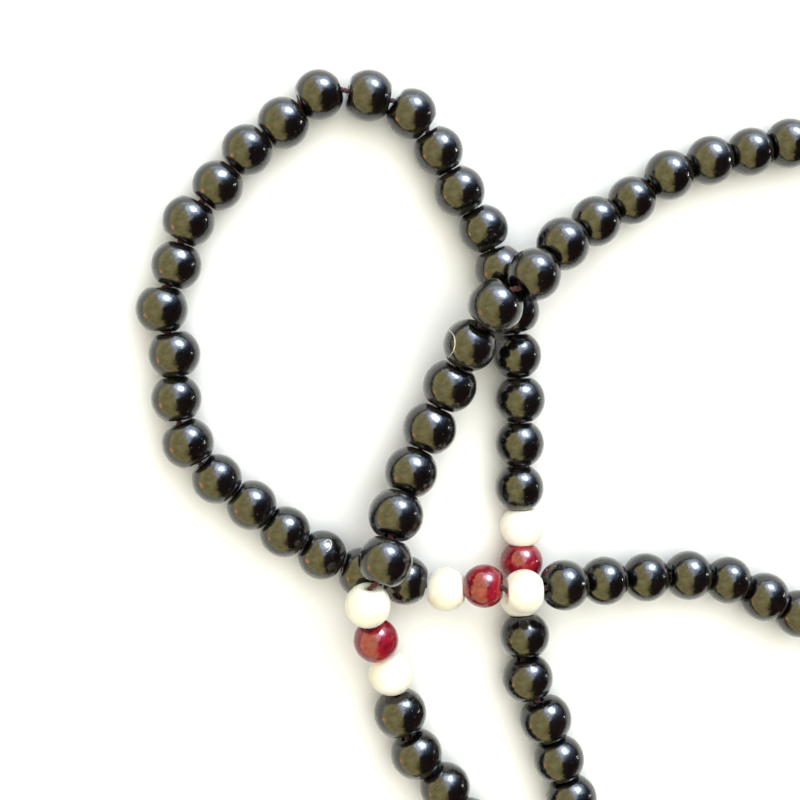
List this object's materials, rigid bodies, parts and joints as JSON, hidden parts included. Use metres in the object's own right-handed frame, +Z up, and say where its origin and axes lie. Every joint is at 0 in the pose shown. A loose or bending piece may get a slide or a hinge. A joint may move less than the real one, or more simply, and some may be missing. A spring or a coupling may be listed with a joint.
{
  "type": "mala prayer beads",
  "caption": "Closed string of round glossy black prayer beads with cream and red marker groups, laid flat in loops that cross over each other.",
  "frame": {"origin": "centre of the footprint of the laid-out string, on the surface it lies on", "axes": "+Z up from the surface, +X along the longest extent from the visible closed loop towards the far bow, +Y towards the top of the closed loop"},
  "size_m": [0.2144, 0.1778, 0.0159],
  "materials": {
    "black_bead": "turned wood under a high gloss black lacquer, with fine dust and scratches",
    "cream_bead": "satin cream, bone-like, slightly translucent",
    "red_bead": "turned wood under glossy crimson lacquer with darker streaks",
    "cord": "twisted rose-red cord"
  },
  "bodies": {
    "string": {"cord": "cord", "knot": "cord", "side_strand_beads": "black_bead"},
    "lower_leg_right": {"lower_leg_right_beads": "black_bead"},
    "lower_leg_left": {"lower_leg_left_beads": "black_bead"},
    "lower_bow": {"lower_bow_beads": "black_bead"},
    "far_leg_upper": {"far_leg_upper_beads": "black_bead"},
    "far_leg_lower": {"far_leg_lower_beads": "black_bead"},
    "far_bow": {"far_bow_beads": "black_bead"},
    "loop_bead_01": {"loop_bead_01": "black_bead"},
    "loop_bead_02": {"loop_bead_02": "black_bead"},
    "loop_bead_03": {"loop_bead_03": "black_bead"},
    "loop_bead_04": {"loop_bead_04": "black_bead"},
    "loop_bead_05": {"loop_bead_05": "black_bead"},
    "loop_bead_06": {"loop_bead_06": "black_bead"},
    "loop_bead_07": {"loop_bead_07": "black_bead"},
    "loop_bead_08": {"loop_bead_08": "black_bead"},
    "loop_bead_09": {"loop_bead_09": "black_bead"},
    "loop_bead_10": {"loop_bead_10": "black_bead"},
    "loop_bead_11": {"loop_bead_11": "black_bead"},
    "loop_bead_12": {"loop_bead_12": "black_bead"},
    "loop_bead_13": {"loop_bead_13": "black_bead"},
    "loop_bead_14": {"loop_bead_14": "black_bead"},
    "loop_bead_15": {"loop_bead_15": "black_bead"},
    "loop_bead_16": {"loop_bead_16": "black_bead"},
    "loop_bead_17": {"loop_bead_17": "black_bead"},
    "loop_bead_18": {"loop_bead_18": "black_bead"},
    "loop_bead_19": {"loop_bead_19": "black_bead"},
    "loop_bead_20": {"loop_bead_20": "black_bead"},
    "loop_bead_21": {"loop_bead_21": "black_bead"},
    "loop_bead_22": {"loop_bead_22": "black_bead"},
    "loop_bead_23": {"loop_bead_23": "black_bead"},
    "loop_bead_24": {"loop_bead_24": "black_bead"},
    "loop_bead_25": {"loop_bead_25": "black_bead"},
    "loop_bead_26": {"loop_bead_26": "black_bead"},
    "loop_bead_27": {"loop_bead_27": "black_bead"},
    "cross_bead_01": {"cross_bead_01": "black_bead"},
    "cross_bead_02": {"cross_bead_02": "black_bead"},
    "cross_bead_03": {"cross_bead_03": "black_bead"},
    "cross_bead_04": {"cross_bead_04": "black_bead"},
    "cross_bead_05": {"cross_bead_05": "black_bead"},
    "cross_bead_06": {"cross_bead_06": "black_bead"},
    "cross_bead_07": {"cross_bead_07": "black_bead"},
    "cross_bead_08": {"cross_bead_08": "black_bead"},
    "cross_bead_09": {"cross_bead_09": "black_bead"},
    "cross_bead_10": {"cross_bead_10": "black_bead"},
    "cross_bead_11": {"cross_bead_11": "black_bead"},
    "cross_bead_12": {"cross_bead_12": "black_bead"},
    "marker_a_cream_in": {"marker_a_cream_in": "cream_bead"},
    "marker_a_red": {"marker_a_red": "red_bead"},
    "marker_a_cream_out": {"marker_a_cream_out": "cream_bead"},
    "marker_b_cream_in": {"marker_b_cream_in": "cream_bead"},
    "marker_b_red": {"marker_b_red": "red_bead"},
    "marker_b_cream_out": {"marker_b_cream_out": "cream_bead"},
    "marker_c_cream_in": {"marker_c_cream_in": "cream_bead"},
    "marker_c_red": {"marker_c_red": "red_bead"},
    "marker_c_cream_out": {"marker_c_cream_out": "cream_bead"},
    "marker_d_cream_in": {"marker_d_cream_in": "cream_bead"},
    "marker_d_red": {"marker_d_red": "red_bead"},
    "marker_d_cream_out": {"marker_d_cream_out": "cream_bead"}
  },
  "joints": [
    {"name": "lower_leg_right_swing", "type": "hinge", "parent": "string", "child": "lower_leg_right", "pos_m": [-0.04362, -0.01194, 0.00423], "axis": [0, 0, 1], "range_deg": [-10, 10], "deforming": ["cord"]},
    {"name": "lower_bow_swing", "type": "hinge", "parent": "lower_leg_right", "child": "lower_bow", "pos_m": [-0.03112, -0.04525, 0.00396], "axis": [0, 0, 1], "range_deg": [-10, 10]},
    {"name": "lower_leg_left_swing", "type": "hinge", "parent": "string", "child": "lower_leg_left", "pos_m": [-0.06496, -0.01681, 0.00426], "axis": [0, 0, 1], "range_deg": [-10, 10]},
    {"name": "far_leg_upper_swing", "type": "hinge", "parent": "string", "child": "far_leg_upper", "pos_m": [0.00869, 0.08025, 0.00396], "axis": [0, 0, 1], "range_deg": [-10, 10], "deforming": ["cord"]},
    {"name": "far_bow_swing", "type": "hinge", "parent": "far_leg_upper", "child": "far_bow", "pos_m": [0.04444, 0.08047, 0.00395], "axis": [0, 0, 1], "range_deg": [-10, 10]},
    {"name": "far_leg_lower_swing", "type": "hinge", "parent": "string", "child": "far_leg_lower", "pos_m": [0.01378, -0.00388, 0.00402], "axis": [0, 0, 1], "range_deg": [-10, 10]},
    {"name": "loop_bead_01_spin", "type": "hinge", "parent": "string", "child": "loop_bead_01", "pos_m": [-0.06511, 0.00832, 0.0044], "axis": [-0.97, 0.2011, -0.1365], "continuous": true},
    {"name": "loop_bead_02_spin", "type": "hinge", "parent": "string", "child": "loop_bead_02", "pos_m": [-0.072, 0.0097, 0.00405], "axis": [-0.9496, 0.3117, -0.0342], "continuous": true},
    {"name": "loop_bead_03_spin", "type": "hinge", "parent": "string", "child": "loop_bead_03", "pos_m": [-0.07842, 0.01269, 0.00392], "axis": [-0.8739, 0.4861, 0.0007], "continuous": true},
    {"name": "loop_bead_04_spin", "type": "hinge", "parent": "string", "child": "loop_bead_04", "pos_m": [-0.08432, 0.01655, 0.00406], "axis": [-0.8053, 0.5929, 0.0048], "continuous": true},
    {"name": "loop_bead_05_spin", "type": "hinge", "parent": "string", "child": "loop_bead_05", "pos_m": [-0.08951, 0.02085, 0.00399], "axis": [-0.7775, 0.6289, -0.0078], "continuous": true},
    {"name": "loop_bead_06_spin", "type": "hinge", "parent": "string", "child": "loop_bead_06", "pos_m": [-0.09491, 0.02512, 0.00396], "axis": [-0.704, 0.7102, 0.0065], "continuous": true},
    {"name": "loop_bead_07_spin", "type": "hinge", "parent": "string", "child": "loop_bead_07", "pos_m": [-0.09936, 0.03079, 0.00408], "axis": [-0.4392, 0.8984, -0.002], "continuous": true},
    {"name": "loop_bead_08_spin", "type": "hinge", "parent": "string", "child": "loop_bead_08", "pos_m": [-0.10107, 0.03772, 0.00393], "axis": [-0.1374, 0.9905, -0.0036], "continuous": true},
    {"name": "loop_bead_09_spin", "type": "hinge", "parent": "string", "child": "loop_bead_09", "pos_m": [-0.10129, 0.04469, 0.00403], "axis": [-0.1482, 0.9889, 0.0072], "continuous": true},
    {"name": "loop_bead_10_spin", "type": "hinge", "parent": "string", "child": "loop_bead_10", "pos_m": [-0.10316, 0.05165, 0.00403], "axis": [0.032, 0.9995, -0.0073], "continuous": true},
    {"name": "loop_bead_11_spin", "type": "hinge", "parent": "string", "child": "loop_bead_11", "pos_m": [-0.10085, 0.05841, 0.00393], "axis": [0.2988, 0.9543, 0.0032], "continuous": true},
    {"name": "loop_bead_12_spin", "type": "hinge", "parent": "string", "child": "loop_bead_12", "pos_m": [-0.09892, 0.06519, 0.00408], "axis": [0.4638, 0.8859, 0.0023], "continuous": true},
    {"name": "loop_bead_13_spin", "type": "hinge", "parent": "string", "child": "loop_bead_13", "pos_m": [-0.09442, 0.07068, 0.00396], "axis": [0.6341, 0.7732, -0.0066], "continuous": true},
    {"name": "loop_bead_14_spin", "type": "hinge", "parent": "string", "child": "loop_bead_14", "pos_m": [-0.08987, 0.07623, 0.00398], "axis": [0.7218, 0.6921, 0.0075], "continuous": true},
    {"name": "loop_bead_15_spin", "type": "hinge", "parent": "string", "child": "loop_bead_15", "pos_m": [-0.08425, 0.08044, 0.00407], "axis": [0.7909, 0.6119, -0.0044], "continuous": true},
    {"name": "loop_bead_16_spin", "type": "hinge", "parent": "string", "child": "loop_bead_16", "pos_m": [-0.07867, 0.08489, 0.00392], "axis": [0.9493, 0.3144, -0.001], "continuous": true},
    {"name": "loop_bead_17_spin", "type": "hinge", "parent": "string", "child": "loop_bead_17", "pos_m": [-0.07088, 0.08487, 0.00405], "axis": [0.9835, -0.1806, 0.0056], "continuous": true},
    {"name": "loop_bead_18_spin", "type": "hinge", "parent": "string", "child": "loop_bead_18", "pos_m": [-0.06412, 0.08222, 0.004], "axis": [0.7978, -0.6028, -0.0078], "continuous": true},
    {"name": "loop_bead_19_spin", "type": "hinge", "parent": "string", "child": "loop_bead_19", "pos_m": [-0.05981, 0.0765, 0.00394], "axis": [0.5391, -0.8422, 0.0054], "continuous": true},
    {"name": "loop_bead_20_spin", "type": "hinge", "parent": "string", "child": "loop_bead_20", "pos_m": [-0.05645, 0.07023, 0.00408], "axis": [0.5155, -0.8569, -0.0003], "continuous": true},
    {"name": "loop_bead_21_spin", "type": "hinge", "parent": "string", "child": "loop_bead_21", "pos_m": [-0.05248, 0.06432, 0.00394], "axis": [0.4749, -0.88, -0.005], "continuous": true},
    {"name": "loop_bead_22_spin", "type": "hinge", "parent": "string", "child": "loop_bead_22", "pos_m": [-0.04985, 0.05801, 0.00401], "axis": [0.3593, -0.9332, 0.0076], "continuous": true},
    {"name": "loop_bead_23_spin", "type": "hinge", "parent": "string", "child": "loop_bead_23", "pos_m": [-0.04744, 0.05123, 0.00405], "axis": [0.2072, -0.9783, -0.0063], "continuous": true},
    {"name": "loop_bead_24_spin", "type": "hinge", "parent": "string", "child": "loop_bead_24", "pos_m": [-0.04692, 0.04419, 0.00392], "axis": [0.0714, -0.9974, 0.0016], "continuous": true},
    {"name": "loop_bead_25_spin", "type": "hinge", "parent": "string", "child": "loop_bead_25", "pos_m": [-0.04642, 0.03705, 0.00407], "axis": [0.035, -0.9994, 0.0038], "continuous": true},
    {"name": "loop_bead_26_spin", "type": "hinge", "parent": "string", "child": "loop_bead_26", "pos_m": [-0.04642, 0.02991, 0.00398], "axis": [0, -1, -0.0072], "continuous": true},
    {"name": "loop_bead_27_spin", "type": "hinge", "parent": "string", "child": "loop_bead_27", "pos_m": [-0.04642, 0.02276, 0.00397], "axis": [0.0369, -0.9988, -0.0326], "continuous": true},
    {"name": "cross_bead_01_spin", "type": "hinge", "parent": "string", "child": "cross_bead_01", "pos_m": [-0.06938, 0.01273, 0.01164], "axis": [0.322, 0.9366, -0.1383], "continuous": true},
    {"name": "cross_bead_02_spin", "type": "hinge", "parent": "string", "child": "cross_bead_02", "pos_m": [-0.06733, 0.01948, 0.00896], "axis": [0.3235, 0.8819, -0.3429], "continuous": true},
    {"name": "cross_bead_03_spin", "type": "hinge", "parent": "string", "child": "cross_bead_03", "pos_m": [-0.06454, 0.02593, 0.0065], "axis": [0.3974, 0.8879, -0.2317], "continuous": true},
    {"name": "cross_bead_04_spin", "type": "hinge", "parent": "string", "child": "cross_bead_04", "pos_m": [-0.06142, 0.03269, 0.00551], "axis": [0.4189, 0.9077, -0.0264], "continuous": true},
    {"name": "cross_bead_05_spin", "type": "hinge", "parent": "string", "child": "cross_bead_05", "pos_m": [-0.0583, 0.03946, 0.00611], "axis": [0.397, 0.8968, 0.1955], "continuous": true},
    {"name": "cross_bead_06_spin", "type": "hinge", "parent": "string", "child": "cross_bead_06", "pos_m": [-0.05555, 0.04596, 0.0084], "axis": [0.4066, 0.8389, 0.3619], "continuous": true},
    {"name": "cross_bead_07_spin", "type": "hinge", "parent": "string", "child": "cross_bead_07", "pos_m": [-0.05217, 0.0521, 0.01156], "axis": [0.6382, 0.7408, 0.2095], "continuous": true},
    {"name": "cross_bead_08_spin", "type": "hinge", "parent": "string", "child": "cross_bead_08", "pos_m": [-0.04602, 0.05702, 0.01153], "axis": [0.7464, 0.6306, -0.2127], "continuous": true},
    {"name": "cross_bead_09_spin", "type": "hinge", "parent": "string", "child": "cross_bead_09", "pos_m": [-0.0406, 0.06187, 0.00826], "axis": [0.7412, 0.5538, -0.3792], "continuous": true},
    {"name": "cross_bead_10_spin", "type": "hinge", "parent": "string", "child": "cross_bead_10", "pos_m": [-0.03454, 0.06559, 0.00566], "axis": [0.8335, 0.4814, -0.2711], "continuous": true},
    {"name": "cross_bead_11_spin", "type": "hinge", "parent": "string", "child": "cross_bead_11", "pos_m": [-0.02817, 0.06905, 0.00422], "axis": [0.8518, 0.5124, -0.1086], "continuous": true},
    {"name": "cross_bead_12_spin", "type": "hinge", "parent": "string", "child": "cross_bead_12", "pos_m": [-0.02192, 0.07319, 0.00405], "axis": [0.895, 0.4459, -0.015], "continuous": true},
    {"name": "marker_a_cream_in_spin", "type": "hinge", "parent": "string", "child": "marker_a_cream_in", "pos_m": [-0.04592, 0.01638, 0.00353], "axis": [0.041, -0.9984, -0.039], "continuous": true},
    {"name": "marker_a_red_spin", "type": "hinge", "parent": "string", "child": "marker_a_red", "pos_m": [-0.04592, 0.01059, 0.00349], "axis": [-0.0017, -1, -0.0058], "continuous": true},
    {"name": "marker_a_cream_out_spin", "type": "hinge", "parent": "string", "child": "marker_a_cream_out", "pos_m": [-0.04594, 0.00482, 0.00347], "axis": [0.0425, -0.9981, 0.044], "continuous": true},
    {"name": "marker_b_cream_in_spin", "type": "hinge", "parent": "string", "child": "marker_b_cream_in", "pos_m": [-0.06754, -0.0065, 0.00513], "axis": [-0.3143, 0.9185, 0.2399], "continuous": true},
    {"name": "marker_b_red_spin", "type": "hinge", "parent": "string", "child": "marker_b_red", "pos_m": [-0.07034, -0.00047, 0.00778], "axis": [-0.3137, 0.8573, 0.4082], "continuous": true},
    {"name": "marker_b_cream_out_spin", "type": "hinge", "parent": "string", "child": "marker_b_cream_out", "pos_m": [-0.07204, 0.00579, 0.01098], "axis": [0.0693, 0.9575, 0.2799], "continuous": true},
    {"name": "marker_c_cream_in_spin", "type": "hinge", "parent": "far_bow", "child": "marker_c_cream_in", "pos_m": [0.08796, 0.07208, 0.00351], "axis": [0.8214, -0.5691, -0.0376], "continuous": true},
    {"name": "marker_c_red_spin", "type": "hinge", "parent": "far_bow", "child": "marker_c_red", "pos_m": [0.09265, 0.06819, 0.00347], "axis": [0.688, -0.7257, -0.0014], "continuous": true},
    {"name": "marker_c_cream_out_spin", "type": "hinge", "parent": "far_bow", "child": "marker_c_cream_out", "pos_m": [0.09628, 0.06331, 0.0035], "axis": [0.5205, -0.8525, 0.0474], "continuous": true},
    {"name": "marker_d_cream_in_spin", "type": "hinge", "parent": "string", "child": "marker_d_cream_in", "pos_m": [-0.04709, 0.00715, 0.01039], "axis": [-0.9989, 0.0084, -0.0471], "continuous": true},
    {"name": "marker_d_red_spin", "type": "hinge", "parent": "string", "child": "marker_d_red", "pos_m": [-0.05312, 0.00779, 0.00847], "axis": [-0.9337, -0.0153, -0.3578], "continuous": true},
    {"name": "marker_d_cream_out_spin", "type": "hinge", "parent": "string", "child": "marker_d_cream_out", "pos_m": [-0.05879, 0.00696, 0.00591], "axis": [-0.9462, 0.0413, -0.321], "continuous": true}
  ],
  "couplings": [
    {"joint": "lower_bow_swing", "follows": "lower_leg_right_swing", "ratio": -1},
    {"joint": "lower_leg_left_swing", "follows": "lower_leg_right_swing", "ratio": 1},
    {"joint": "far_bow_swing", "follows": "far_leg_upper_swing", "ratio": -1},
    {"joint": "far_leg_lower_swing", "follows": "far_leg_upper_swing", "ratio": 1}
  ]
}
